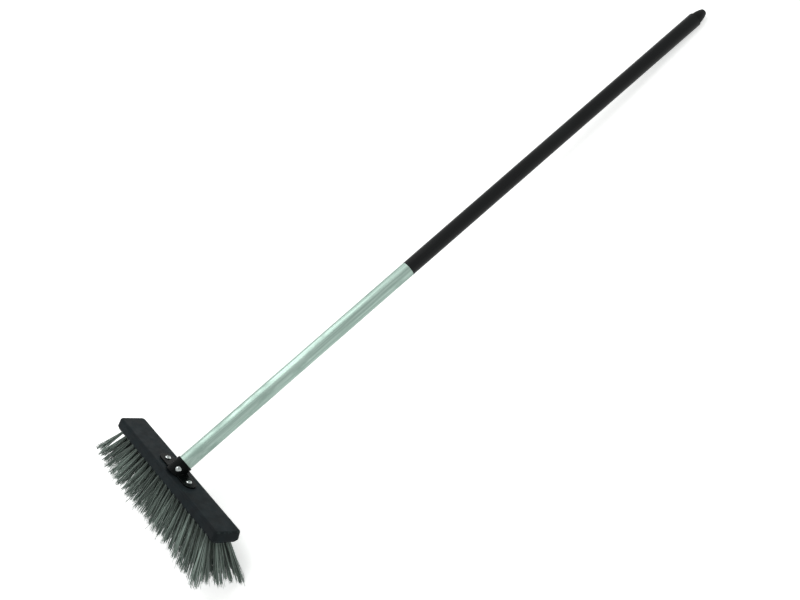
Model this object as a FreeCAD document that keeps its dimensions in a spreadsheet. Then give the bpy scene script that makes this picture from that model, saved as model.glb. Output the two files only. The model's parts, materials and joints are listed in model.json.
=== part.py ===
"""Push broom with a staple-set PVC head and a leaning metal handle.

The head is described in its own frame: X along the block, Y from front to back, Z up,
with the origin at the middle of the block's top face.  Lengths along the handle start
where its axis crosses that face.  At the end the whole broom is laid down on the plane
Z = 0, where it rests on the tips of its back row of tufts and on the end of its grip.
"""
import FreeCAD, Part
import Sketcher
import math
import os
import re
from FreeCAD import Placement, Rotation, Vector

SIZES = [
    ("block_length", 364, "moulded block, end to end at its top"),
    ("block_width", 50, "moulded block, front to back at its top"),
    ("block_height", 21, "top face to underside"),
    ("block_corner_radius", 7, "corners seen from above"),
    ("block_top_fillet", 4, "soft edge round the top face"),
    ("block_flare", 1, "how far each side leans out"),
    ("block_skirt_height", 15.5, "top face down to the widest line"),
    ("block_undercut", 3, "how far the foot of each side turns in"),
    ("tuft_count", 23, "in a long row, an odd number; short rows have one less"),
    ("tuft_margin", 20.74, "end of the block to the middle of a long row's first hole"),
    ("row_count", 5, "rows of tufts, long and short in turn"),
    ("row_margin", 5.5, "side of the block to the middle of the outermost row"),
    ("tuft_hole_diameter", 5.8, "drilled hole"),
    ("tuft_hole_depth", 9.5, "along the hole"),
    ("tuft_clearance", 0.1, "tuft to hole wall and hole bottom"),
    ("tuft_spread", 3, "half angle by which a tuft opens, degrees"),
    ("tuft_blank_length", 92, "before the tips are trimmed level"),
    ("brush_depth", 80, "top face of the block to the trimmed tips"),
    ("side_splay", 21.5, "lean of the outermost rows away from the middle row, degrees"),
    ("back_set", 4.5, "lean of every tuft towards the back, from being pushed, degrees"),
    ("end_splay", 31.5, "lean of the outermost tufts of a row, degrees"),
    ("anchor_length", 5.2, "flat anchor wire, across the hole"),
    ("anchor_height", 2, "flat anchor wire, along the hole"),
    ("anchor_thickness", 0.4, "flat anchor wire"),
    ("anchor_clearance", 0.05, "anchor to the folded tuft round it"),
    ("handle_lean", 50.7, "handle above the block's top face, degrees"),
    ("handle_offset", -4.7, "where the handle's axis crosses the top face, front to back"),
    ("handle_diameter", 28, "tube, outside"),
    ("handle_wall", 1.2, "tube"),
    ("handle_start", -1, "lower end of the tube, along its axis"),
    ("handle_length", 1285, "tube"),
    ("pocket_clearance", 0.3, "tube to its pocket in the block"),
    ("socket_wall", 1.85, "bracket socket"),
    ("socket_clearance", 0.15, "tube to socket, on the radius"),
    ("socket_start", -6, "lower end of the socket, along the handle"),
    ("socket_rim", 22, "upper end of the socket, along the handle"),
    ("ear_span", 110, "tip to tip over both bracket ears"),
    ("ear_width", 24, "bracket ear"),
    ("ear_thickness", 2.5, "bracket ear"),
    ("ear_edge_fillet", 0.6, "pressed edge of an ear"),
    ("weld_gap", 0.1, "ear to socket"),
    ("screw_spacing", 79, "between the two block screws"),
    ("screw_diameter", 4.2, "block screw shank"),
    ("screw_length", 12, "block screw, under the head"),
    ("screw_point", 2.5, "length of a screw's pointed end"),
    ("screw_tip_diameter", 1.4, "blunt end of a screw's point"),
    ("screw_turn", 30, "how far round each block screw stopped, degrees"),
    ("screw_clearance", 0.1, "shank to hole, on the radius"),
    ("head_diameter", 10, "pan head of every screw"),
    ("head_height", 3, "pan head of every screw"),
    ("head_side", 1.05, "straight side of a head, under its crown"),
    ("head_flat_diameter", 4.5, "flat top of a head"),
    ("head_bow", 4.2, "radius of a head's crown"),
    ("recess_width", 1.2, "one slot of the cross recess"),
    ("recess_length", 5.4, "cross recess, tip to tip"),
    ("recess_depth", 1.6, "cross recess"),
    ("clamp_diameter", 4.8, "clamp screw shank"),
    ("clamp_length", 12, "clamp screw, under the head"),
    ("clamp_height", 6, "clamp screw, along the handle"),
    ("clamp_angle", 42, "clamp screw, turned from the block's length to its front, degrees"),
    ("plug_length", 32, "lower plug"),
    ("plug_clearance", 0.1, "a plug to the inside of the tube, on the radius"),
    ("plug_bore_diameter", 8, "hole along the lower plug"),
    ("grip_length", 745, "sleeve, from the upper end of the tube down"),
    ("grip_wall", 0.15, "sleeve"),
    ("grip_clearance", 0.05, "sleeve to tube, on the radius"),
    ("cap_spigot_length", 26, "end cap, inside the tube"),
    ("cap_flange", 1.2, "end cap, over the end of the tube"),
    ("cap_nose_diameter", 24, "end cap, root of the nose"),
    ("cap_nose_length", 25, "end cap, flange to flat end"),
    ("cap_nose_bow", 62, "radius of the nose's side"),
    ("cap_tip_diameter", 12, "end cap, flat end"),
    ("cap_tip_fillet", 2, "end cap, round the flat end"),
    ("cap_bore_diameter", 20, "hollow of the end cap's spigot"),
]

doc = FreeCAD.newDocument("PushBroom")
sheet = doc.addObject("Spreadsheet::Sheet", "Dimensions")
for row, (name, value, note) in enumerate(SIZES, start=1):
    sheet.set(f"A{row}", name)
    sheet.set(f"B{row}", str(value))
    sheet.set(f"C{row}", note)
    sheet.setAlias(f"B{row}", name)
doc.recompute()

ON_PLANE = 0.05  # mm: an edge this near a plane lies on it
OVERRUN = 2  # a cutting tool is this many times as long as what it cuts
ALIAS = re.compile(r"\b[a-z]+(_[a-z]+)+\b")
MOUTH_RADIUS = "(tuft_hole_diameter / 2 - tuft_clearance)"
TUBE_BORE = "(handle_diameter / 2 - handle_wall)"
SOCKET_BORE = "(handle_diameter / 2 + socket_clearance)"
SOCKET_OUTSIDE = f"({SOCKET_BORE} + socket_wall)"
GRIP_BORE = "(handle_diameter / 2 + grip_clearance)"
TUFT_PITCH = "((block_length - 2 * tuft_margin) / (tuft_count - 1))"
ROW_SPACING = "((block_width - 2 * row_margin) / (row_count - 1))"


def formula(text):
    """The same formula with every size's name pointed at the sheet."""
    return ALIAS.sub(r"Dimensions.\g<0>", text)


def number(text):
    """The present value of a formula, as a plain number."""
    return float(sheet.evalExpression(formula(str(text))))


def bind(obj, formulas):
    """Tie each named property of an object to a formula of the sheet's sizes."""
    for prop, text in formulas.items():
        obj.setExpression(prop, formula(text))
    return obj


def cylinder(name, radius, height, placement=Placement()):
    solid = bind(doc.addObject("Part::Cylinder", name), {"Radius": radius, "Height": height})
    solid.Placement = placement
    return solid


def cone(name, start, end, height, placement=Placement()):
    sizes = {"Radius1": start, "Radius2": end, "Height": height}
    solid = bind(doc.addObject("Part::Cone", name), sizes)
    solid.Placement = placement
    return solid


def box(name, length, width, height, placement=Placement()):
    """A box centred on its placement in X and Y, standing up from it in Z."""
    sizes = {"Length": length, "Width": width, "Height": height}
    solid = bind(doc.addObject("Part::Box", name), sizes)
    centring = Vector(-number(length) / 2, -number(width) / 2, 0)
    solid.Placement = placement.multiply(Placement(centring, Rotation()))
    return solid


def fuse(name, solids):
    joined = doc.addObject("Part::MultiFuse", name)
    joined.Shapes = solids
    return joined


def cut(name, base, tools):
    """Base with one or more tools taken away."""
    tool = tools[0]
    if len(tools) > 1:
        tool = doc.addObject("Part::Compound", name + "_tools")
        tool.Links = tools
    result = doc.addObject("Part::Cut", name)
    result.Base = base
    result.Tool = tool
    return result


def finish(obj, label, placement=None):
    """Name a finished sub-part and, where it was made elsewhere, put it in its place."""
    obj.Label = label
    if placement:
        obj.Placement = placement
    return obj


def new_body(name):
    return doc.addObject("PartDesign::Body", name)


def new_sketch(body, name, plane="XY_Plane", offset=Placement()):
    """An empty sketch on one of a body's own origin planes."""
    sketch = body.newObject("Sketcher::SketchObject", name)
    for feature in body.Origin.OriginFeatures:
        if feature.Role == plane:
            sketch.AttachmentSupport = [(feature, "")]
    sketch.MapMode = "FlatFace"
    sketch.AttachmentOffset = offset
    return sketch


def place_point(sketch, edge, end, x, y):
    """Hold one end of an edge at a pair of formulas, measured from the sketch's origin."""
    for kind, text in (("DistanceX", x), ("DistanceY", y)):
        constraint = Sketcher.Constraint(kind, -1, 1, edge, end, number(text))
        index = sketch.addConstraint(constraint)
        sketch.setExpression(f"Constraints[{index}]", formula(text))


def closed_outline(sketch, points, bows=None):
    """A closed outline through points given as formulas; bows turns edges into arcs.

    bows holds, for an edge's number, the radius of its arc and +1 or -1: the side of the
    edge, seen from its start, on which the arc's centre lies (+1 is to the left).
    """
    bows = bows or {}
    places = [Vector(number(x), number(y), 0) for x, y in points]
    for index, start in enumerate(places):
        end = places[(index + 1) % len(places)]
        if index not in bows:
            sketch.addGeometry(Part.LineSegment(start, end))
            continue
        radius, side = number(bows[index][0]), bows[index][1]
        along = (end - start).normalize()
        left = Vector(-along.y, along.x, 0)
        half = (end - start).Length / 2
        centre = (start + end) / 2 + left * side * math.sqrt(radius ** 2 - half ** 2)
        middle = centre + ((start + end) / 2 - centre).normalize() * radius
        sketch.addGeometry(Part.Arc(start, middle, end))
    for index, (x, y) in enumerate(points):
        follower = (index + 1) % len(points)
        arc_drawn_backwards = index in bows and bows[index][1] < 0
        first, last = (2, 1) if arc_drawn_backwards else (1, 2)
        next_first = 2 if follower in bows and bows[follower][1] < 0 else 1
        sketch.addConstraint(Sketcher.Constraint("Coincident", index, last, follower, next_first))
        place_point(sketch, index, first, x, y)
    for index, (radius, _) in bows.items():
        constraint = sketch.addConstraint(Sketcher.Constraint("Radius", index, number(radius)))
        sketch.setExpression(f"Constraints[{constraint}]", formula(radius))


def circle(sketch, x, radius):
    """A circle on the sketch's X axis."""
    centre = Vector(number(x), 0, 0)
    edge = sketch.addGeometry(Part.Circle(centre, Vector(0, 0, 1), number(radius)))
    place_point(sketch, edge, 3, x, "0")
    index = sketch.addConstraint(Sketcher.Constraint("Radius", edge, number(radius)))
    sketch.setExpression(f"Constraints[{index}]", formula(radius))


def rectangle(sketch, length, width):
    """A rectangle centred on the sketch's origin."""
    signs = [("-", "-"), ("", "-"), ("", ""), ("-", "")]
    closed_outline(sketch, [(f"{a}({length}) / 2", f"{b}({width}) / 2") for a, b in signs])


def edges_where(feature, test):
    """Names of a feature's edges that pass a test."""
    numbered = enumerate(feature.Shape.Edges, start=1)
    return [f"Edge{index}" for index, edge in numbered if test(edge)]


def fillet(body, name, feature, edges, radius):
    """Round the named edges of a body's last feature."""
    rounded = body.newObject("PartDesign::Fillet", name)
    rounded.Base = (feature, edges)
    bind(rounded, {"Radius": radius})
    body.Tip = rounded
    doc.recompute()
    return rounded


def along_handle(distance):
    """Frame on the handle's axis at a distance from the block's top face, Z up the handle."""
    lean = math.radians(number("handle_lean"))
    reach = number(distance)
    point = Vector(0, number("handle_offset") + reach * math.cos(lean), reach * math.sin(lean))
    return Placement(point, Rotation(Vector(1, 0, 0), number("handle_lean - 90")))


def facing_clamp(distance, radius):
    """Frame at a radius from the handle's axis, Z outwards along the clamp screw."""
    around = Placement(Vector(), Rotation(Vector(0, 0, 1), -number("clamp_angle")))
    outwards = Placement(Vector(number(radius), 0, 0), Rotation(Vector(0, 1, 0), 90))
    return along_handle(distance).multiply(around).multiply(outwards)


# ---------------------------------------------------------------- tufts and their holes

def tuft_rows():
    """Mouth of every tuft's hole on the underside, row by row, from front to back."""
    count, rows = int(number("tuft_count")), int(number("row_count"))
    for row in range(rows):
        y = (row - (rows - 1) / 2) * number(ROW_SPACING)
        here = count - row % 2
        xs = [(index - (here - 1) / 2) * number(TUFT_PITCH) for index in range(here)]
        yield row + 1, [Vector(x, y, -number("block_height")) for x in xs]


def tuft_frame(mouth, depth):
    """Frame on a tuft's axis, a depth inside its hole's mouth, Z down to the tips."""
    end_reach = (number("tuft_count") - 1) / 2 * number(TUFT_PITCH)
    side_reach = (number("row_count") - 1) / 2 * number(ROW_SPACING)
    lean_x = math.tan(math.radians(number("end_splay"))) * mouth.x / end_reach
    lean_y = math.tan(math.radians(number("side_splay"))) * mouth.y / side_reach
    lean_y += math.tan(math.radians(number("back_set")))
    axis = Vector(lean_x, lean_y, -1).normalize()
    return Placement(mouth - axis * number(depth), Rotation(Vector(0, 0, 1), axis))


def tuft_hole(name, mouth):
    """Drill for one hole, standing out below the underside."""
    return cylinder(name, "tuft_hole_diameter / 2", f"{OVERRUN} * tuft_hole_depth",
                    tuft_frame(mouth, "tuft_hole_depth"))


def tuft_blank(name, mouth):
    """One tuft as it is set, opening from its folded root, not yet trimmed."""
    inside = "(tuft_hole_depth - tuft_clearance)"
    root = f"{MOUTH_RADIUS} - {inside} * tan(tuft_spread)"
    tip = f"{MOUTH_RADIUS} + (tuft_blank_length - {inside}) * tan(tuft_spread)"
    return cone(name, root, tip, "tuft_blank_length", tuft_frame(mouth, inside))


def anchor(name, mouth, gap):
    """Flat wire across the fold of a tuft, or the slot round it when gap is not zero."""
    sizes = ("anchor_length", "anchor_thickness", "anchor_height")
    depth = f"tuft_hole_depth - anchor_height + {gap}"
    length, thickness, height = (f"{size} + 2 * {gap}" for size in sizes)
    return box(name, length, thickness, height, tuft_frame(mouth, depth))


def tuft_row(row, mouths):
    """All tufts of one row, slotted for their anchors and trimmed level at the tips."""
    blanks = doc.addObject("Part::Compound", f"tuft_blanks_{row}")
    blanks.Links = [tuft_blank(f"tuft_{row}_{i}", mouth) for i, mouth in enumerate(mouths)]
    waste_side = f"{OVERRUN} * (block_length + block_width + tuft_blank_length)"
    below_tips = Placement(Vector(0, 0, -number("brush_depth + tuft_blank_length")), Rotation())
    waste = box(f"trimmings_{row}", waste_side, waste_side, "tuft_blank_length", below_tips)
    slots = [anchor(f"slot_{row}_{i}", mouth, "anchor_clearance") for i, mouth in enumerate(mouths)]
    return finish(cut(f"TuftRow{row}", blanks, [waste] + slots), f"tuft_row_{row}")


def anchor_row(row, mouths):
    wires = doc.addObject("Part::Compound", f"AnchorRow{row}")
    wires.Links = [anchor(f"anchor_{row}_{i}", mouth, "0") for i, mouth in enumerate(mouths)]
    return finish(wires, f"anchor_row_{row}")


# ------------------------------------------------------------------------------- block

def block_blank():
    """The moulding before drilling: sides lean out, then turn in at the foot."""
    body = new_body("BlockBody")
    widest = Placement(Vector(0, 0, -number("block_skirt_height")), Rotation())
    pads = (
        ("Skirt", "block_skirt_height", "atan(block_flare / block_skirt_height)", False),
        ("Foot", "block_height - block_skirt_height",
         "atan(block_undercut / (block_height - block_skirt_height))", True),
    )
    for name, height, taper, downwards in pads:
        sketch = new_sketch(body, name + "Outline", offset=widest)
        bind(sketch, {"AttachmentOffset.Base.z": "-block_skirt_height"})
        rectangle(sketch, "block_length + 2 * block_flare", "block_width + 2 * block_flare")
        pad = body.newObject("PartDesign::Pad", name)
        pad.Profile = sketch
        pad.Reversed = downwards
        bind(pad, {"Length": height, "TaperAngle": "-" + taper})
        doc.recompute()
    corners = edges_where(pad, lambda edge: edge.BoundBox.ZLength > ON_PLANE)
    rounded = fillet(body, "Corners", pad, corners, "block_corner_radius")
    rim = edges_where(rounded, lambda edge: edge.BoundBox.ZMin > -ON_PLANE)
    fillet(body, "SoftTop", rounded, rim, "block_top_fillet")
    return body


def brush_block(holes):
    """The block with its tuft holes, the handle's pocket and the two screw holes."""
    pocket_start = "handle_start - pocket_clearance"
    pocket = cylinder("Pocket", "handle_diameter / 2 + pocket_clearance",
                      f"{OVERRUN} * handle_diameter", along_handle(pocket_start))
    drills = []
    for side in (-1, 1):
        drill = cylinder(f"ScrewHole{side}", "screw_diameter / 2 + screw_clearance",
                         "screw_length + screw_clearance")
        bottom = number("ear_thickness - screw_length - screw_clearance")
        drill.Placement.Base = Vector(side * number("screw_spacing") / 2, 0, bottom)
        drills.append(drill)
    return finish(cut("BrushBlock", block_blank(), holes + [pocket] + drills), "brush_block")


# ------------------------------------------------------------------------------- screws

def screw(name, diameter, length):
    """Pan-head screw with a cross recess, its seat at Z = 0 and its head above."""
    body = new_body(name + "Turned")
    profile = new_sketch(body, name + "Profile", "XZ_Plane")
    closed_outline(profile, [
        ("0", f"-({length})"),
        ("screw_tip_diameter / 2", f"-({length})"),
        (f"{diameter} / 2", f"screw_point - ({length})"),
        (f"{diameter} / 2", "0"),
        ("head_diameter / 2", "0"),
        ("head_diameter / 2", "head_side"),
        ("head_flat_diameter / 2", "head_height"),
        ("0", "head_height"),
    ], bows={5: ("head_bow", 1)})
    turned = body.newObject("PartDesign::Revolution", name + "Body")
    turned.Profile = profile
    turned.ReferenceAxis = (profile, ["V_Axis"])
    doc.recompute()
    slots = []
    for turn in (0, 90):
        seat = Vector(0, 0, number("head_height - recess_depth"))
        place = Placement(seat, Rotation(Vector(0, 0, 1), turn))
        slots.append(box(f"{name}Slot{turn}", "recess_length", "recess_width",
                         f"{OVERRUN} * recess_depth", place))
    recess = fuse(name + "Recess", slots)
    return cut(name, body, [recess])


def block_screw(side, label):
    """Screw that holds one ear of the bracket down on the block."""
    turned = screw(f"BlockScrew{side}", "screw_diameter", "screw_length - screw_clearance")
    seat = Vector(side * number("screw_spacing") / 2, 0, number("ear_thickness"))
    return finish(turned, label, Placement(seat, Rotation(Vector(0, 0, 1), side * number("screw_turn"))))


def clamp_screw():
    """Screw through the socket's wall that grips the handle."""
    turned = screw("ClampScrew", "clamp_diameter", "clamp_length - screw_clearance")
    place = facing_clamp("clamp_height", SOCKET_OUTSIDE)
    return finish(turned, "clamp_screw", place)


def clamp_hole(name):
    """Hole for the clamp screw, from outside the socket to just past the screw's point."""
    place = facing_clamp("clamp_height", f"{SOCKET_OUTSIDE} - clamp_length")
    return cylinder(name, "clamp_diameter / 2 + screw_clearance", f"{OVERRUN} * clamp_length", place)


# ------------------------------------------------------------------------------ bracket

def bracket_ear(side, label):
    """Flat welded ear that lies on the block and meets the socket's side."""
    body = new_body(f"Ear{side}Body")
    outline = new_sketch(body, f"Ear{side}Outline")
    straight = "(ear_span / 2 - ear_width / 2)"
    closed_outline(outline, [
        ("0", "-ear_width / 2"),
        (straight, "-ear_width / 2"),
        (f"{straight} + ear_width / 2", "0"),
        (straight, "ear_width / 2"),
        ("0", "ear_width / 2"),
    ], bows={1: ("ear_width / 2", 1), 2: ("ear_width / 2", 1)})
    circle(outline, "screw_spacing / 2", "screw_diameter / 2 + screw_clearance")
    pad = body.newObject("PartDesign::Pad", f"Ear{side}Plate")
    pad.Profile = outline
    bind(pad, {"Length": "ear_thickness"})
    doc.recompute()
    top = number("ear_thickness")
    middle = number("screw_spacing / 2")
    reach = number("screw_diameter")

    def outer_top_edge(edge):
        bounds = edge.BoundBox
        at_hole = middle - reach < bounds.XMin and bounds.XMax < middle + reach
        at_socket = bounds.XMax < ON_PLANE
        return bounds.ZMin > top - ON_PLANE and not at_hole and not at_socket

    fillet(body, f"Ear{side}Edge", pad, edges_where(pad, outer_top_edge), "ear_edge_fillet")
    body.Placement = Placement(Vector(), Rotation(Vector(0, 0, 1), 0 if side > 0 else 180))
    room = cylinder(f"Ear{side}Room", f"{SOCKET_OUTSIDE} + weld_gap",
                    "ear_span", along_handle("-ear_span / 2"))
    return finish(cut(f"Ear{side}", body, [room]), label)


def handle_socket():
    """Tube of the bracket: square at both ends, its heel trimmed level with the block."""
    length = "socket_rim - socket_start"
    outside = cylinder("SocketOutside", SOCKET_OUTSIDE, length, along_handle("socket_start"))
    bore = cylinder("SocketBore", SOCKET_BORE, length, along_handle("socket_start"))
    under = Placement(Vector(0, 0, -number("ear_span")), Rotation())
    block_room = box("SocketFoot", "ear_span", "ear_span", "ear_span", under)
    tools = [bore, block_room, clamp_hole("SocketHole")]
    return finish(cut("HandleSocket", outside, tools), "handle_socket")


# ------------------------------------------------------------------------------- handle

def handle_tube():
    outside = cylinder("TubeOutside", "handle_diameter / 2", "handle_length",
                       along_handle("handle_start"))
    bore = cylinder("TubeBore", TUBE_BORE, "handle_length", along_handle("handle_start"))
    return finish(cut("HandleTube", outside, [bore, clamp_hole("TubeHole")]), "handle_tube")


def lower_plug():
    """Plastic plug that backs the tube's wall where the clamp screw bites."""
    start = along_handle("handle_start")
    outside = cylinder("PlugOutside", f"{TUBE_BORE} - plug_clearance", "plug_length", start)
    bore = cylinder("PlugBore", "plug_bore_diameter / 2", "plug_length", start)
    return finish(cut("LowerPlug", outside, [bore, clamp_hole("PlugHole")]), "lower_plug")


def grip_sleeve():
    """Thin plastic sleeve over the upper part of the tube, flush with its end."""
    start = along_handle("handle_start + handle_length - grip_length")
    outside = cylinder("GripOutside", f"{GRIP_BORE} + grip_wall", "grip_length", start)
    bore = cylinder("GripBore", GRIP_BORE, "grip_length", start)
    return finish(cut("GripSleeve", outside, [bore]), "grip_sleeve")


def end_cap():
    """Hollow spigot inside the tube, a flange over its end and a bowed, flat-ended nose."""
    body = new_body("EndCapBody")
    profile = new_sketch(body, "EndCapProfile", "XZ_Plane")
    spigot = f"{TUBE_BORE} - plug_clearance"
    closed_outline(profile, [
        ("cap_bore_diameter / 2", "-cap_spigot_length"),
        (spigot, "-cap_spigot_length"),
        (spigot, "0"),
        ("handle_diameter / 2", "0"),
        ("handle_diameter / 2", "cap_flange"),
        ("cap_nose_diameter / 2", "cap_flange"),
        ("cap_tip_diameter / 2", "cap_flange + cap_nose_length"),
        ("0", "cap_flange + cap_nose_length"),
        ("0", "0"),
        ("cap_bore_diameter / 2", "0"),
    ], bows={5: ("cap_nose_bow", 1)})
    turned = body.newObject("PartDesign::Revolution", "EndCapTurned")
    turned.Profile = profile
    turned.ReferenceAxis = (profile, ["V_Axis"])
    doc.recompute()
    end = number("cap_flange + cap_nose_length")
    tip = edges_where(turned, lambda edge: edge.BoundBox.ZMin > end - ON_PLANE)
    fillet(body, "EndCapTip", turned, tip, "cap_tip_fillet")
    return finish(body, "end_cap", along_handle("handle_start + handle_length"))


# --------------------------------------------------------------------- the whole broom

def lying_down(back_tufts, everything):
    """Placement that lays the broom on Z = 0, handle towards +Y, centred over the origin."""
    tips = back_tufts.Shape.optimalBoundingBox(False)
    tip_point = Vector(0, tips.YMax, tips.ZMin)
    grip_end = along_handle("handle_start + handle_length")
    grip_point = grip_end.multVec(Vector(0, number(f"{GRIP_BORE} + grip_wall"), 0))
    rise = grip_point - tip_point
    turn = Rotation(Vector(1, 0, 0), -math.degrees(math.atan2(rise.z, rise.y)))
    bounds = FreeCAD.BoundBox()
    for part in everything:
        shape = part.Shape.copy()
        shape.Placement = Placement(Vector(), turn).multiply(shape.Placement)
        bounds.add(shape.optimalBoundingBox(False))
    middle = Vector((bounds.XMin + bounds.XMax) / 2, (bounds.YMin + bounds.YMax) / 2, bounds.ZMin)
    return Placement(-middle, turn)


def check(parts):
    """Stop if anything in the document failed or any sub-part is not sound."""
    for obj in doc.Objects:
        faults = [state for state in obj.State if state in ("Invalid", "Error")]
        if faults:
            raise RuntimeError(f"{obj.Name} is {faults}")
    for part in parts:
        if part.Shape.isNull() or not part.Shape.isValid():
            raise RuntimeError(f"{part.Label} has no sound shape")


def main():
    rows = list(tuft_rows())
    holes = []
    for row, mouths in rows:
        holes += [tuft_hole(f"hole_{row}_{i}", mouth) for i, mouth in enumerate(mouths)]
    tufts = [tuft_row(row, mouths) for row, mouths in rows]
    parts = tufts + [anchor_row(row, mouths) for row, mouths in rows]
    parts += [
        brush_block(holes),
        bracket_ear(-1, "bracket_ear_left"),
        bracket_ear(1, "bracket_ear_right"),
        handle_socket(),
        block_screw(-1, "block_screw_left"),
        block_screw(1, "block_screw_right"),
        clamp_screw(),
        handle_tube(),
        lower_plug(),
        grip_sleeve(),
        end_cap(),
    ]
    doc.recompute()
    check(parts)
    down = lying_down(tufts[-1], parts)
    for part in parts:
        part.Placement = down.multiply(part.Placement)
    doc.recompute()
    check(parts)
    os.makedirs("parts", exist_ok=True)
    for part in parts:
        part.Shape.exportStep(f"parts/{part.Label}.step")
        bounds = part.Shape.BoundBox
        print(f"{part.Label:20s} {len(part.Shape.Solids):3d} solids {part.Shape.Volume:11.1f} mm3",
              f"x {bounds.XMin:.1f}..{bounds.XMax:.1f} y {bounds.YMin:.1f}..{bounds.YMax:.1f}",
              f"z {bounds.ZMin:.2f}..{bounds.ZMax:.2f}")
    print("head frame in the lying broom:", down.Base, down.Rotation.Axis, down.Rotation.Angle)


main()
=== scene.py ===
"""Looks of a push broom: staple-set bristles, a painted bracket, a drawn metal tube and a black grip.

Everything is in metres.  Two frames are worked out from the model's mounts: the head's (X along
the block, Y from front to back, Z up out of the block's top face, origin in the middle of that
face) and the handle's (Z up the handle, origin in the middle of the grip).
"""
import json
import math
import random

import bmesh
import bpy
from mathutils import Matrix, Vector


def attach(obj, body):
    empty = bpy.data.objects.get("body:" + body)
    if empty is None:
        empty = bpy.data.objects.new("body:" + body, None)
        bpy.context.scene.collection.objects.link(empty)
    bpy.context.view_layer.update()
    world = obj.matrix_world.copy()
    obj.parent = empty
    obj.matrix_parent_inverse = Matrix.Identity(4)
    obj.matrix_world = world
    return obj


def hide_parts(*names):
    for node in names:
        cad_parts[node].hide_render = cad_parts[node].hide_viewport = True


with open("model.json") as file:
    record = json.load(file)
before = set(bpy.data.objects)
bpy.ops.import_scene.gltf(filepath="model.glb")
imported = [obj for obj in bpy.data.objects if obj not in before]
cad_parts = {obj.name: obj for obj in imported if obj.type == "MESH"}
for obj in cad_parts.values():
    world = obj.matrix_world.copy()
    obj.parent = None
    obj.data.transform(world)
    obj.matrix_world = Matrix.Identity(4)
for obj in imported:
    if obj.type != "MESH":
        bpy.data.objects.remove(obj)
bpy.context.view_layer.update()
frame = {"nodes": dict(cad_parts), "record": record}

bl_info = {
    "name": "Push Broom Looks",
    "version": (1, 0, 0),
    "blender": (4, 5, 0),
    "location": "3D View > Sidebar > Broom",
    "description": "Bristles, welds and finishes for a push broom with a metal handle",
    "category": "Object",
}

BODY = "root"
MOUNTS = {mount["name"]: mount for mount in frame["record"]["mounts"]}


def tone(red, green, blue):
    """A colour given as 0 to 255 on screen, as the scene's linear values."""
    def linear(value):
        share = value / 255
        return share / 12.92 if share <= 0.04045 else ((share + 0.055) / 1.055) ** 2.4
    return tuple(linear(value) for value in (red, green, blue))


# ------------------------------------------------------------------------------- settings

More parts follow.
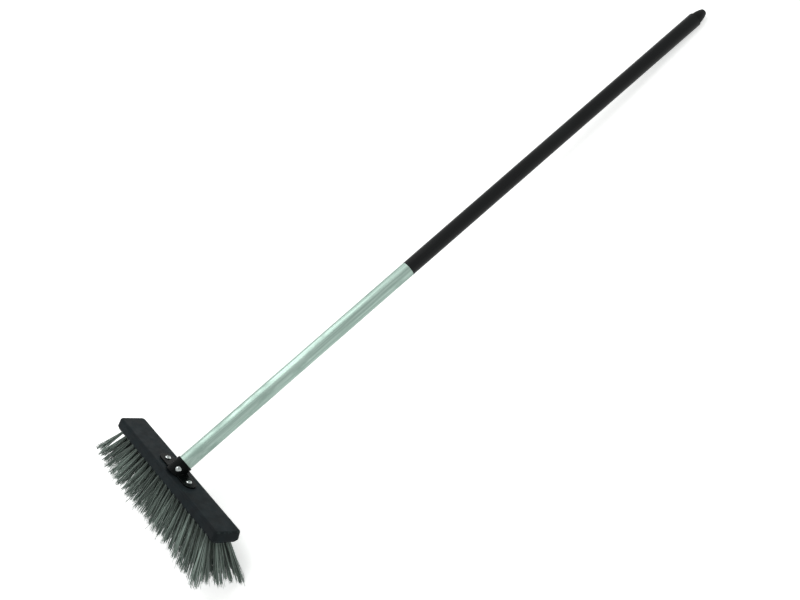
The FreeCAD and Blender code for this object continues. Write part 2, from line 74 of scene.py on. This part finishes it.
class BroomSizes(bpy.types.PropertyGroup):
    """Sizes of the pieces that are modelled here, and of the block that carries them."""

    brush_depth: bpy.props.FloatProperty(
        name="Brush depth", description="Top face of the block to the trimmed tips",
        default=0.080, unit="LENGTH")
    block_height: bpy.props.FloatProperty(
        name="Block height", description="Top face of the block to its underside",
        default=0.021, unit="LENGTH")
    block_length: bpy.props.FloatProperty(
        name="Block length", description="End to end at the top",
        default=0.364, unit="LENGTH")
    block_width: bpy.props.FloatProperty(
        name="Block width", description="Front to back at the top",
        default=0.050, unit="LENGTH")
    tuft_count: bpy.props.IntProperty(
        name="Tufts", description="Tufts in a long row; a short row has one less", default=23)
    row_count: bpy.props.IntProperty(
        name="Rows", description="Rows of tufts, long and short in turn", default=5)
    tuft_pitch: bpy.props.FloatProperty(
        name="Tuft pitch", description="From tuft to tuft along a row",
        default=0.01466, unit="LENGTH")
    row_spacing: bpy.props.FloatProperty(
        name="Row spacing", description="From row to row at the underside",
        default=0.00975, unit="LENGTH")
    root_depth: bpy.props.FloatProperty(
        name="Root depth", description="Depth of a tuft's fold in its hole",
        default=0.0085, unit="LENGTH")
    tuft_radius: bpy.props.FloatProperty(
        name="Tuft radius", description="Tuft at its hole's mouth",
        default=0.0028, unit="LENGTH")
    tuft_spread: bpy.props.FloatProperty(
        name="Tuft spread", description="Half angle by which a tuft opens",
        default=math.radians(4.8), subtype="ANGLE")
    end_splay: bpy.props.FloatProperty(
        name="End splay", description="Lean of the outermost tufts of a row",
        default=math.radians(31.5), subtype="ANGLE")
    side_splay: bpy.props.FloatProperty(
        name="Side splay", description="Lean of the outermost rows",
        default=math.radians(21.5), subtype="ANGLE")
    back_set: bpy.props.FloatProperty(
        name="Back set", description="Lean of every tuft towards the back",
        default=math.radians(4.5), subtype="ANGLE")
    filaments: bpy.props.IntProperty(
        name="Filaments", description="Filament ends in one tuft", default=54)
    filament_radius: bpy.props.FloatProperty(
        name="Filament radius", description="Half the thickness of a filament",
        default=0.00040, unit="LENGTH")
    filament_bend: bpy.props.FloatProperty(
        name="Filament bend", description="How far a filament's tip usually curves aside",
        default=0.0025, unit="LENGTH")
    tip_scatter: bpy.props.FloatProperty(
        name="Tip scatter", description="How unevenly the tips are trimmed",
        default=0.0010, unit="LENGTH")
    stray_share: bpy.props.FloatProperty(
        name="Strays", description="Share of filaments that stand out of their tuft",
        default=0.035, subtype="FACTOR")
    stray_bend: bpy.props.FloatProperty(
        name="Stray bend", description="How far a stray's tip curves aside",
        default=0.0065, unit="LENGTH")
    stray_length: bpy.props.FloatProperty(
        name="Stray length", description="How much longer a stray may be",
        default=0.0070, unit="LENGTH")
    end_wear: bpy.props.FloatProperty(
        name="End wear", description="How much shorter the tips are at the worn left end",
        default=0.0100, unit="LENGTH")
    end_growth: bpy.props.FloatProperty(
        name="End growth", description="How much longer the tips are at the right end",
        default=0.0060, unit="LENGTH")
    ear_thickness: bpy.props.FloatProperty(
        name="Ear thickness", description="Bracket ear", default=0.0025, unit="LENGTH")
    ear_width: bpy.props.FloatProperty(
        name="Ear width", description="Bracket ear", default=0.024, unit="LENGTH")
    socket_radius: bpy.props.FloatProperty(
        name="Socket radius", description="Outside of the bracket's socket",
        default=0.016, unit="LENGTH")
    handle_offset: bpy.props.FloatProperty(
        name="Handle offset", description="Where the handle's axis crosses the block's top",
        default=-0.0047, unit="LENGTH")
    weld_radius: bpy.props.FloatProperty(
        name="Weld radius", description="Half the thickness of a weld bead",
        default=0.0013, unit="LENGTH")
    weld_ripples: bpy.props.IntProperty(
        name="Weld ripples", description="Ripples along one weld bead", default=14)


def colour(name, description, red, green, blue):
    """A colour setting whose default is given as 0 to 255 on screen."""
    return bpy.props.FloatVectorProperty(
        name=name, description=description, default=tone(red, green, blue),
        size=3, min=0, max=1, subtype="COLOR")


class BroomColours(bpy.types.PropertyGroup):
    """Colours of every finish."""

    # Dark filaments; the same colour is also the painted shade deep in the brush, towards the block.
    bristle_dark_and_shade: colour("Bristle, dark", "Filaments in shade or with grime", 26, 37, 32)
    bristle_pale: colour("Bristle, pale", "Clean filaments", 184, 204, 193)
    bristle_worn: colour("Bristle, tips", "Rubbed tips of the filaments", 108, 124, 116)
    block: colour("Block", "Moulded block", 23, 32, 35)
    block_mottle: colour("Block, mottled", "Cloudy places in the moulding", 22, 27, 29)
    block_scuff: colour("Block, scuffs", "Rubbed edges of the block", 52, 61, 60)
    bracket: colour("Bracket", "Black stoved paint", 7, 10, 10)
    bracket_worn: colour("Bracket, worn", "Paint rubbed thin", 18, 22, 22)
    zinc: colour("Zinc", "Plated screws and anchor wire", 196, 202, 200)
    zinc_dull: colour("Zinc, dull", "Clouded places in the plating", 128, 134, 133)
    tube: colour("Tube", "Drawn metal", 160, 180, 171)
    tube_dull: colour("Tube, dull", "Streaks along the drawn metal", 110, 132, 123)
    grip: colour("Grip", "Black sleeve", 7, 10, 10)
    grip_rubbed: colour("Grip, rubbed", "Handled places of the sleeve", 20, 24, 24)
    cap: colour("Cap", "Moulded end cap and plug", 9, 11, 11)
    cap_rubbed: colour("Cap, rubbed", "Knocked places of the cap", 30, 34, 34)
    floor: colour("Floor", "Floor and backdrop", 250, 251, 250)


class BroomStage(bpy.types.PropertyGroup):
    """Camera and lamps."""

    camera_place: bpy.props.FloatVectorProperty(
        name="Camera", description="Where the camera stands",
        default=(1.53243, -0.47170, 1.59646), size=3, subtype="TRANSLATION")
    camera_turn: bpy.props.FloatVectorProperty(
        name="Camera turn", description="How the camera is turned",
        default=tuple(math.radians(angle) for angle in (39.408, 23.539, 51.040)),
        size=3, subtype="EULER")
    lens: bpy.props.FloatProperty(
        name="Lens", description="Focal length in millimetres on a 36 mm sensor", default=55.39)
    key_power: bpy.props.FloatProperty(
        name="Key lamp", description="Power of the long lamp overhead, in watts", default=24)
    fill_power: bpy.props.FloatProperty(
        name="Fill lamp", description="Power of the opposite lamp, in watts", default=8)
    room_light: bpy.props.FloatProperty(
        name="Room light", description="Strength of the light from all round", default=0.50)
    floor_glow: bpy.props.FloatProperty(
        name="Floor glow", description="Light added to the floor as it is seen", default=0.58)
    floor_radius: bpy.props.FloatProperty(
        name="Floor radius", description="Size of the floor", default=14, unit="LENGTH")


def sizes():
    return bpy.context.scene.broom_sizes


def colours():
    return bpy.context.scene.broom_colours


# --------------------------------------------------------------------------------- frames

def head_frame():
    """Head frame in the model's own, from the flat face that the trimmed tips make."""
    face = MOUNTS["sweeping_face"]
    up = -Vector(face["axis"])
    side = Vector((1, 0, 0))
    back = up.cross(side)
    settings = sizes()
    set_back = (settings.brush_depth - settings.block_height) * math.tan(settings.back_set)
    origin = Vector(face["pos_m"]) + up * settings.brush_depth - back * set_back
    return Matrix.Translation(origin) @ Matrix((side, back, up)).transposed().to_4x4()


def handle_frame():
    """Handle frame in the model's own, from the grip's mount."""
    grip = MOUNTS["grip"]
    up = Vector(grip["axis"])
    side = Vector((1, 0, 0))
    turned = Matrix((side, up.cross(side), up)).transposed().to_4x4()
    return Matrix.Translation(Vector(grip["pos_m"])) @ turned


# ------------------------------------------------------------------------------- finishes

class Finish:
    """A material under construction: nodes are added by kind and joined by socket."""

    def __init__(self, name, **fixed):
        self.material = bpy.data.materials.new(name)
        self.material.use_nodes = True
        self.tree = self.material.node_tree
        self.shader = self.tree.nodes["Principled BSDF"]
        for socket, value in fixed.items():
            self.shader.inputs[socket.replace("_", " ")].default_value = value

    def add(self, kind, inputs, output=0, **settings):
        """A new node's output; inputs take a value or another node's output."""
        node = self.tree.nodes.new(kind)
        for name, value in settings.items():
            setattr(node, name, value)
        for name, value in inputs.items():
            self.join(value, node.inputs[name])
        return node.outputs[output]

    def join(self, value, socket):
        if isinstance(value, bpy.types.NodeSocket):
            self.tree.links.new(value, socket)
        else:
            socket.default_value = value

    def drive(self, socket, value):
        """Feed one of the shader's sockets."""
        self.join(value, self.shader.inputs[socket])

    def place(self, matrix=Matrix(), stretch=(1, 1, 1)):
        """Object coordinates seen from a frame, drawn out along its axes by stretch."""
        coordinates = self.add("ShaderNodeTexCoord", {}, output=3)
        return self.add("ShaderNodeMapping", {
            "Vector": coordinates,
            "Location": matrix.to_translation(),
            "Rotation": matrix.to_euler(),
            "Scale": stretch,
        }, vector_type="TEXTURE")

    def noise(self, place, scale, detail=3.0, roughness=0.5):
        return self.add("ShaderNodeTexNoise", {
            "Vector": place, "Scale": scale, "Detail": detail, "Roughness": roughness})

    def ramp(self, value, low, high, start=0.0, end=1.0):
        """Value run from start to end as it goes from low to high."""
        return self.add("ShaderNodeMapRange", {
            "Value": value, "From Min": low, "From Max": high, "To Min": start, "To Max": end},
            interpolation_type="SMOOTHSTEP")

    def maths(self, operation, first, second=0.0):
        return self.add("ShaderNodeMath", {0: first, 1: second}, operation=operation)

    def blend(self, share, first, second):
        """Colour that goes from first to second with share."""
        pair = [value if isinstance(value, bpy.types.NodeSocket) else (*value, 1)
                for value in (first, second)]
        return self.add("ShaderNodeMix", {0: share, 6: pair[0], 7: pair[1]},
                        output=2, data_type="RGBA")

    def relief(self, height, depth, strength=1.0, under=None):
        """Bumps of a given depth in metres, on top of others."""
        inputs = {"Height": height, "Distance": depth, "Strength": strength}
        if under:
            inputs["Normal"] = under
        return self.add("ShaderNodeBump", inputs)

    def axes(self, place):
        """The three coordinates of a place, apart."""
        node = self.tree.nodes.new("ShaderNodeSeparateXYZ")
        self.tree.links.new(place, node.inputs[0])
        return node.outputs


def bristle_finish():
    """Extruded plastic filaments: each its own tone, greyer at the rubbed tips, and darkened towards
    the block by painted shade.
    """
    finish = Finish("Bristle", IOR=1.5)
    settings, shades = sizes(), colours()
    chance = finish.add("ShaderNodeNewGeometry", {}, output="Random Per Island")
    leaning_dark = 1.7
    shade = finish.maths("POWER", chance, leaning_dark)
    strand = finish.blend(shade, shades.bristle_dark_and_shade, shades.bristle_pale)
    down = finish.axes(finish.place(head_frame()))[2]
    tip = -settings.brush_depth
    rubbed_length = 0.018
    unshaded_tip_length = 0.035
    rubbed = finish.ramp(down, low=tip + rubbed_length, high=tip, end=0.45)
    worn = finish.blend(rubbed, strand, shades.bristle_worn)
    # Painted shade: the filaments darken from near their tips up to the block, where the brush is
    # deep and shaded.
    painted_shade = finish.ramp(down, low=tip + unshaded_tip_length, high=-settings.block_height, end=0.55)
    finish.drive("Base Color", finish.blend(painted_shade, worn, shades.bristle_dark_and_shade))
    grime = finish.noise(finish.place(), scale=900, detail=2)
    finish.drive("Roughness", finish.ramp(grime, low=0.3, high=0.7, start=0.34, end=0.55))
    finish.drive("Normal", finish.relief(grime, depth=0.00005))
    return finish.material


def block_finish():
    """Moulded plastic: fine grain, cloudy colour, and edges rubbed pale in places."""
    finish = Finish("Block", IOR=1.46, Specular_IOR_Level=0.09)
    settings, shades = sizes(), colours()
    half_length = settings.block_length / 2
    half_width = settings.block_width / 2
    rubbed_at_ends = 0.006
    rubbed_at_sides = 0.003
    rubbed_below_top = 0.004
    fully_rubbed_below_top = 0.0006
    strongest_rub = 0.85
    place = finish.place(head_frame())
    x, y, z = finish.axes(place)
    cloud = finish.ramp(finish.noise(place, scale=38, detail=4), low=0.35, high=0.68)
    body = finish.blend(cloud, shades.block, shades.block_mottle)
    near_end = finish.ramp(
        finish.maths("ABSOLUTE", x), low=half_length - rubbed_at_ends, high=half_length)
    near_side = finish.ramp(
        finish.maths("ABSOLUTE", y), low=half_width - rubbed_at_sides, high=half_width)
    at_top = finish.ramp(z, low=-rubbed_below_top, high=-fully_rubbed_below_top)
    rim = finish.maths("MULTIPLY", finish.maths("MAXIMUM", near_end, near_side), at_top)
    patches = finish.noise(place, scale=130, detail=5, roughness=0.6)
    patchy = finish.ramp(patches, low=0.46, high=0.66)
    rubbed = finish.maths("MULTIPLY", finish.maths("MULTIPLY", rim, patchy), strongest_rub)
    scratch = finish.noise(finish.place(head_frame(), stretch=(9, 1, 1)), scale=650)
    scratched = finish.ramp(scratch, low=0.66, high=0.74, end=0.35)
    wear = finish.maths("MAXIMUM", rubbed, scratched)
    finish.drive("Base Color", finish.blend(wear, body, shades.block_scuff))
    gloss = finish.noise(place, scale=60, detail=4)
    finish.drive("Roughness", finish.ramp(gloss, low=0.3, high=0.7, start=0.52, end=0.64))
    coarse = finish.relief(finish.noise(place, scale=420), depth=0.00010)
    grain = finish.noise(place, scale=1500, detail=2)
    finish.drive("Normal", finish.relief(grain, depth=0.00006, strength=0.8, under=coarse))
    return finish.material


def bracket_finish(name):
    """Stoved black paint on pressed steel, with a faint orange peel and thin places."""
    finish = Finish(name, IOR=1.5, Specular_IOR_Level=0.05)
    shades = colours()
    place = finish.place(head_frame())
    coat = finish.noise(place, scale=210, detail=5, roughness=0.62)
    thin = finish.ramp(coat, low=0.60, high=0.74, end=0.8)
    finish.drive("Base Color", finish.blend(thin, shades.bracket, shades.bracket_worn))
    gloss = finish.noise(place, scale=150)
    finish.drive("Roughness", finish.ramp(gloss, low=0.3, high=0.7, start=0.20, end=0.34))
    peel = finish.noise(place, scale=480, detail=2)
    finish.drive("Normal", finish.relief(peel, depth=0.00005, strength=0.7))
    return finish.material


def zinc_finish(name, cloud_scale):
    """Zinc plating: bright with clouded patches and fine turning marks."""
    finish = Finish(name, Metallic=1.0)
    shades = colours()
    marks_scale = cloud_scale * 6
    clouds = finish.noise(finish.place(head_frame()), scale=cloud_scale, detail=4, roughness=0.6)
    cloud = finish.ramp(clouds, low=0.38, high=0.66)
    finish.drive("Base Color", finish.blend(cloud, shades.zinc, shades.zinc_dull))
    finish.drive("Roughness", finish.ramp(cloud, low=0, high=1, start=0.14, end=0.30))
    drawn = finish.place(head_frame(), stretch=(1, 6, 1))
    marks = finish.noise(drawn, scale=marks_scale, detail=2)
    finish.drive("Normal", finish.relief(marks, depth=0.00004, strength=0.8))
    return finish.material


def tube_finish():
    """Drawn metal: long faint streaks, small dull clouds and hairline marks along it."""
    finish = Finish("Tube", Metallic=0.9)
    shades = colours()
    frame_of_handle = handle_frame()
    drawn = finish.noise(finish.place(frame_of_handle, stretch=(1, 1, 60)), scale=520)
    streaks = finish.ramp(drawn, low=0.34, high=0.68)
    clouds = finish.noise(finish.place(frame_of_handle, stretch=(1, 1, 3)), scale=55, detail=4)
    cloud = finish.ramp(clouds, low=0.45, high=0.7)
    streak_share = 0.55
    cloud_share = 0.6
    dull = finish.maths("MAXIMUM", finish.maths("MULTIPLY", streaks, streak_share),
                        finish.maths("MULTIPLY", cloud, cloud_share))
    finish.drive("Base Color", finish.blend(dull, shades.tube, shades.tube_dull))
    finish.drive("Roughness", finish.ramp(cloud, low=0, high=1, start=0.34, end=0.44))
    finish.drive("Normal", finish.relief(drawn, depth=0.00003, strength=0.8))
    return finish.material


def grip_finish():
    """Thin black plastic sleeve: satin, with a faint skin and handled places."""
    finish = Finish("Grip", IOR=1.48, Specular_IOR_Level=0.18)
    shades = colours()
    frame_of_handle = handle_frame()
    long_patches = finish.place(frame_of_handle, stretch=(1, 1, 4))
    handled = finish.noise(long_patches, scale=26, detail=5, roughness=0.6)
    rubbed = finish.ramp(handled, low=0.48, high=0.72, end=0.8)
    hair = finish.noise(finish.place(frame_of_handle, stretch=(1, 1, 45)), scale=900, detail=2)
    lines = finish.ramp(hair, low=0.68, high=0.78, end=0.5)
    wear = finish.maths("MAXIMUM", rubbed, lines)
    finish.drive("Base Color", finish.blend(wear, shades.grip, shades.grip_rubbed))
    finish.drive("Roughness", finish.ramp(handled, low=0.35, high=0.7, start=0.25, end=0.36))
    skin = finish.noise(finish.place(frame_of_handle), scale=520, detail=2)
    finish.drive("Normal", finish.relief(skin, depth=0.00006, strength=0.8))
    return finish.material


def moulded_finish(name, grain_scale):
    """Injection-moulded black plastic with a spark-eroded grain and rubbed places."""
    finish = Finish(name, IOR=1.48, Specular_IOR_Level=0.14)
    shades = colours()
    place = finish.place(handle_frame())
    knocked = finish.noise(place, scale=170, detail=5, roughness=0.65)
    knocks = finish.ramp(knocked, low=0.58, high=0.72, end=0.7)
    finish.drive("Base Color", finish.blend(knocks, shades.cap, shades.cap_rubbed))
    gloss = finish.noise(place, scale=90)
    finish.drive("Roughness", finish.ramp(gloss, low=0.3, high=0.7, start=0.42, end=0.58))
    grain = finish.noise(place, scale=grain_scale, detail=2)
    finish.drive("Normal", finish.relief(grain, depth=0.00008, strength=0.8))
    return finish.material


def paint(nodes, material):
    """Give one finish to CAD nodes."""
    for name in nodes:
        node = frame["nodes"][name]
        if not node.material_slots:
            node.data.materials.append(material)
        for slot in node.material_slots:
            slot.material = material


def nodes_like(*starts):
    """Names of the CAD nodes that begin with one of some words, in order."""
    return sorted(name for name in frame["nodes"] if name.startswith(starts))


# ------------------------------------------------------------------------------- bristles

FIRST_SEED = 100  # of the first row; every row has its own
TUFT_LEAN = 0.022  # slope by which a tuft usually strays from its place in the fan
STATIONS = (0, 0.22, 0.45, 0.66, 0.84, 1)  # where a filament's points stand, from mouth to tip
FOLD_SHARE = 0.8  # how near a filament keeps to the tuft's middle at the fold
TIP_SHARE = 0.8  # thickness of a filament's tip
FLOOR_GAP = 1.5  # lowest height of a filament's middle, in its radii
MERGE_DISTANCE = 1e-7


def row_reach():
    """From the middle of a long row to its outermost tuft."""
    settings = sizes()
    return (settings.tuft_count - 1) / 2 * settings.tuft_pitch


def tufts_of(row):
    """Mouth and direction of every tuft in a row, in the head frame."""
    settings = sizes()
    here = settings.tuft_count - row % 2
    side_reach = (settings.row_count - 1) / 2 * settings.row_spacing
    y = (row - (settings.row_count - 1) / 2) * settings.row_spacing
    for index in range(here):
        x = (index - (here - 1) / 2) * settings.tuft_pitch
        lean_x = math.tan(settings.end_splay) * x / row_reach()
        lean_y = math.tan(settings.side_splay) * y / side_reach + math.tan(settings.back_set)
        yield Vector((x, y, -settings.block_height)), Vector((lean_x, lean_y, -1))


def into_last(share, parts):
    """How far a share of the way reaches into the last of some equal parts, or 0."""
    return max(0.0, share * parts - (parts - 1))


def filament(rng, mouth, axis):
    """Points along one filament, from its fold in the hole to its tip, in the head frame."""
    settings = sizes()
    angle = rng.uniform(0, 2 * math.pi)
    outward = Vector((math.cos(angle), math.sin(angle), 0))
    offset = outward * settings.tuft_radius * math.sqrt(rng.random())
    opening = offset * (math.tan(settings.tuft_spread) / settings.tuft_radius)
    stray = rng.random() < settings.stray_share
    bend_angle = rng.uniform(0, 2 * math.pi)
    bend = rng.gauss(0, settings.stray_bend if stray else settings.filament_bend)
    aside = Vector((math.cos(bend_angle), math.sin(bend_angle), 0)) * bend
    worn = into_last(-mouth.x / row_reach(), 3)
    grown = into_last(mouth.x / row_reach(), 2)
    drop = settings.brush_depth - settings.block_height + settings.end_growth * grown
    drop += rng.gauss(settings.tip_scatter, settings.tip_scatter) - settings.end_wear * worn
    if stray:
        drop += rng.uniform(0, settings.stray_length)
    slope = (axis / -axis.z) + opening
    points = [mouth + offset * FOLD_SHARE - axis.normalized() * settings.root_depth]
    for share in STATIONS:
        points.append(mouth + offset + slope * drop * share + aside * share ** 2)
    return points


def row_line_work(row):
    """Curve with a four-sided spline for every filament of a row, none lower than the floor."""
    settings = sizes()
    head = head_frame()
    rng = random.Random(FIRST_SEED + row)
    curve = bpy.data.curves.new(f"filaments_{row}", "CURVE")
    curve.dimensions = "3D"
    curve.bevel_depth = settings.filament_radius
    curve.bevel_resolution = 0
    curve.use_fill_caps = True
    for mouth, axis in tufts_of(row):
        lean = Vector((rng.gauss(0, TUFT_LEAN), rng.gauss(0, TUFT_LEAN), 0))
        for _ in range(settings.filaments):
            points = [head @ point for point in filament(rng, mouth, axis + lean)]
            spline = curve.splines.new("POLY")
            spline.points.add(len(points) - 1)
            for place, point in zip(spline.points, points):
                height = max(point.z, settings.filament_radius * FLOOR_GAP)
                place.co = (point.x, point.y, height, 1)
                place.radius = 1
            spline.points[-1].radius = TIP_SHARE
    return curve


def as_mesh(name, curve, material):
    """A piece made from a bevelled curve, its normals outwards."""
    holder = bpy.data.objects.new(name + "_line", curve)
    bpy.context.scene.collection.objects.link(holder)
    bpy.context.view_layer.update()
    mesh = bpy.data.meshes.new_from_object(holder)
    mesh.name = name
    bpy.data.objects.remove(holder)
    bpy.data.curves.remove(curve)
    shape = bmesh.new()
    shape.from_mesh(mesh)
    bmesh.ops.remove_doubles(shape, verts=shape.verts, dist=MERGE_DISTANCE)
    bmesh.ops.recalc_face_normals(shape, faces=shape.faces)
    for face in shape.faces:
        face.smooth = len(face.verts) == 4
    shape.to_mesh(mesh)
    shape.free()
    mesh.materials.clear()
    mesh.materials.append(material)
    piece = bpy.data.objects.new(name, mesh)
    bpy.context.scene.collection.objects.link(piece)
    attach(piece, BODY)
    return piece


# ---------------------------------------------------------------------------------- welds

STEPS_PER_RIPPLE = 4
RIPPLE_SWELL = 0.16  # by which a bead swells and narrows, as a share of its thickness
BEAD_OUT = 0.3  # bead's middle out from the socket's wall, in bead radii
BEAD_UP = 0.15  # bead's middle up from the ear's top, in bead radii
BEAD_END = 0.45  # thickness at a bead's end, as a share of the thickness further in
BEAD_RISE = 8  # how fast a bead gains that thickness from its end


def weld_line(side):
    """Places in the head frame, and thicknesses, along the bead between one ear and the socket."""
    settings = sizes()
    lean = handle_frame().to_3x3() @ Vector((0, 0, 1))
    axis = head_frame().to_3x3().inverted() @ lean
    middle = settings.handle_offset + settings.ear_thickness * axis.y / axis.z
    long_radius = settings.socket_radius / axis.z
    reach = settings.ear_width / 2 - settings.weld_radius
    height = settings.ear_thickness + settings.weld_radius * BEAD_UP
    steps = settings.weld_ripples * STEPS_PER_RIPPLE
    for step in range(steps + 1):
        along = 2 * step / steps - 1
        y = reach * along
        across = math.sqrt(1 - ((y - middle) / long_radius) ** 2)
        x = side * (settings.socket_radius * across + settings.weld_radius * BEAD_OUT)
        swell = 1 + RIPPLE_SWELL * math.cos(2 * math.pi * step / STEPS_PER_RIPPLE)
        fade = min(1.0, (1 - abs(along)) * BEAD_RISE + BEAD_END)
        yield Vector((x, y, height)), swell * fade


def weld_curve(side):
    """Bevelled curve of the bead on one side, in the model's frame."""
    head = head_frame()
    curve = bpy.data.curves.new("weld", "CURVE")
    curve.dimensions = "3D"
    curve.bevel_depth = sizes().weld_radius
    curve.bevel_resolution = 3
    curve.use_fill_caps = True
    line = list(weld_line(side))
    spline = curve.splines.new("POLY")
    spline.points.add(len(line) - 1)
    for place, (point, thickness) in zip(spline.points, line):
        place.co = (*(head @ point), 1)
        place.radius = thickness
    return curve


# -------------------------------------------------------------------------------- scenery

def seen_rays(tree):
    """1 for rays that show the surroundings: to the camera, in gloss and through glass."""
    rays = tree.nodes.new("ShaderNodeLightPath")
    seen = rays.outputs["Is Camera Ray"]
    for kind in ("Is Glossy Ray", "Is Transmission Ray"):
        either = tree.nodes.new("ShaderNodeMath")
        either.operation = "MAXIMUM"
        tree.links.new(seen, either.inputs[0])
        tree.links.new(rays.outputs[kind], either.inputs[1])
        seen = either.outputs[0]
    return seen


def floor_material():
    """Pale floor that is seen near white but still takes the broom's shadow."""
    finish = Finish("Floor", Roughness=0.9, Specular_IOR_Level=0.1)
    shade = (*colours().floor, 1)
    finish.shader.inputs["Base Color"].default_value = shade
    glow = finish.maths("MULTIPLY", seen_rays(finish.tree), bpy.context.scene.broom_stage.floor_glow)
    finish.shader.inputs["Emission Color"].default_value = shade
    finish.drive("Emission Strength", glow)
    return finish.material


def soft_lamp(name, place, width, length, power):
    """Panel lamp that faces the model's origin, its length along Y where it can be."""
    data = bpy.data.lights.new(name, "AREA")
    data.shape = "RECTANGLE"
    data.size = width
    data.size_y = length
    data.energy = power
    lamp = bpy.data.objects.new(name, data)
    lamp.location = place
    lamp.rotation_euler = (Vector() - Vector(place)).to_track_quat("-Z", "Y").to_euler()
    bpy.context.scene.collection.objects.link(lamp)


def light_room():
    """Even light from all round, seen as white."""
    stage = bpy.context.scene.broom_stage
    world = bpy.data.worlds.new("Room")
    bpy.context.scene.world = world
    world.use_nodes = True
    tree = world.node_tree
    background = tree.nodes["Background"]
    background.inputs["Color"].default_value = (1, 1, 1, 1)
    level = tree.nodes.new("ShaderNodeMapRange")
    level.inputs["To Min"].default_value = stage.room_light
    level.inputs["To Max"].default_value = 1
    tree.links.new(seen_rays(tree), level.inputs["Value"])
    tree.links.new(level.outputs[0], background.inputs["Strength"])


# ------------------------------------------------------------------------------ operators

class BROOM_OT_bristles(bpy.types.Operator):
    """Set every row of tufts with separate filaments"""

    bl_idname = "broom.bristles"
    bl_label = "Bristles"

    def execute(self, context):
        material = bristle_finish()
        for row in range(sizes().row_count):
            piece = as_mesh(f"bristles_{row + 1}", row_line_work(row), material)
            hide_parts(f"tuft_row_{row + 1}")
        return {"FINISHED"}


class BROOM_OT_welds(bpy.types.Operator):
    """Lay a weld bead between each bracket ear and the socket"""

    bl_idname = "broom.welds"
    bl_label = "Weld beads"

    def execute(self, context):
        material = bracket_finish("Weld")
        for name, side in (("weld_left", -1), ("weld_right", 1)):
            as_mesh(name, weld_curve(side), material)
        return {"FINISHED"}


class BROOM_OT_block(bpy.types.Operator):
    """Finish the block"""

    bl_idname = "broom.block"
    bl_label = "Block"

    def execute(self, context):
        paint(["brush_block"], block_finish())
        return {"FINISHED"}


class BROOM_OT_bracket(bpy.types.Operator):
    """Finish the bracket's ears and socket"""

    bl_idname = "broom.bracket"
    bl_label = "Bracket"

    def execute(self, context):
        paint(nodes_like("bracket_ear", "handle_socket"), bracket_finish("Bracket"))
        return {"FINISHED"}


class BROOM_OT_fasteners(bpy.types.Operator):
    """Finish the screws and the anchor wires"""

    bl_idname = "broom.fasteners"
    bl_label = "Fasteners"

    def execute(self, context):
        paint(nodes_like("block_screw", "clamp_screw"), zinc_finish("Screw", cloud_scale=260))
        paint(nodes_like("anchor_row"), zinc_finish("Wire", cloud_scale=700))
        return {"FINISHED"}


class BROOM_OT_handle(bpy.types.Operator):
    """Finish the tube and the sleeve over it"""

    bl_idname = "broom.handle"
    bl_label = "Handle"

    def execute(self, context):
        paint(["handle_tube"], tube_finish())
        paint(["grip_sleeve"], grip_finish())
        return {"FINISHED"}


class BROOM_OT_mouldings(bpy.types.Operator):
    """Finish the end cap and the lower plug"""

    bl_idname = "broom.mouldings"
    bl_label = "Cap and plug"

    def execute(self, context):
        paint(["end_cap"], moulded_finish("Cap", grain_scale=1100))
        paint(["lower_plug"], moulded_finish("Plug", grain_scale=800))
        return {"FINISHED"}


class BROOM_OT_stage(bpy.types.Operator):
    """Set the floor, the lamps and the camera"""

    bl_idname = "broom.stage"
    bl_label = "Stage"

    def execute(self, context):
        stage = context.scene.broom_stage
        shape = bmesh.new()
        bmesh.ops.create_circle(shape, cap_ends=True, segments=64, radius=stage.floor_radius)
        mesh = bpy.data.meshes.new("floor")
        shape.to_mesh(mesh)
        shape.free()
        mesh.materials.append(floor_material())
        floor = bpy.data.objects.new("floor", mesh)
        context.scene.collection.objects.link(floor)
        soft_lamp("key", place=(-1.1, 0, 2.2), width=0.9, length=3.2, power=stage.key_power)
        soft_lamp("fill", place=(1.6, -1.8, 2.2), width=2.0, length=2.0, power=stage.fill_power)
        light_room()
        data = bpy.data.cameras.new("camera")
        data.lens = stage.lens
        camera = bpy.data.objects.new("camera", data)
        camera.location = stage.camera_place
        camera.rotation_euler = stage.camera_turn
        context.scene.collection.objects.link(camera)
        context.scene.camera = camera
        context.scene.view_settings.view_transform = "Standard"
        return {"FINISHED"}


OPERATORS = (
    BROOM_OT_stage,
    BROOM_OT_bristles,
    BROOM_OT_welds,
    BROOM_OT_block,
    BROOM_OT_bracket,
    BROOM_OT_fasteners,
    BROOM_OT_handle,
    BROOM_OT_mouldings,
)


class BROOM_PT_panel(bpy.types.Panel):
    """Lists the broom's pieces"""

    bl_idname = "BROOM_PT_panel"
    bl_label = "Push broom"
    bl_space_type = "VIEW_3D"
    bl_region_type = "UI"
    bl_category = "Broom"

    def draw(self, context):
        for operator in OPERATORS:
            self.layout.operator(operator.bl_idname)
        for setting in GROUPS:
            group = getattr(context.scene, setting)
            column = self.layout.column()
            for name in type(group).__annotations__:
                column.prop(group, name)


GROUPS = {"broom_sizes": BroomSizes, "broom_colours": BroomColours, "broom_stage": BroomStage}


def register():
    for group in GROUPS.values():
        bpy.utils.register_class(group)
    for name, group in GROUPS.items():
        setattr(bpy.types.Scene, name, bpy.props.PointerProperty(type=group))
    for cls in (*OPERATORS, BROOM_PT_panel):
        bpy.utils.register_class(cls)


def unregister():
    for cls in (BROOM_PT_panel, *reversed(OPERATORS)):
        bpy.utils.unregister_class(cls)
    for name, group in GROUPS.items():
        delattr(bpy.types.Scene, name)
        bpy.utils.unregister_class(group)


def main():
    register()
    for operator in OPERATORS:
        group, name = operator.bl_idname.split(".")
        getattr(getattr(bpy.ops, group), name)()


if __name__ == "__main__":
    main()
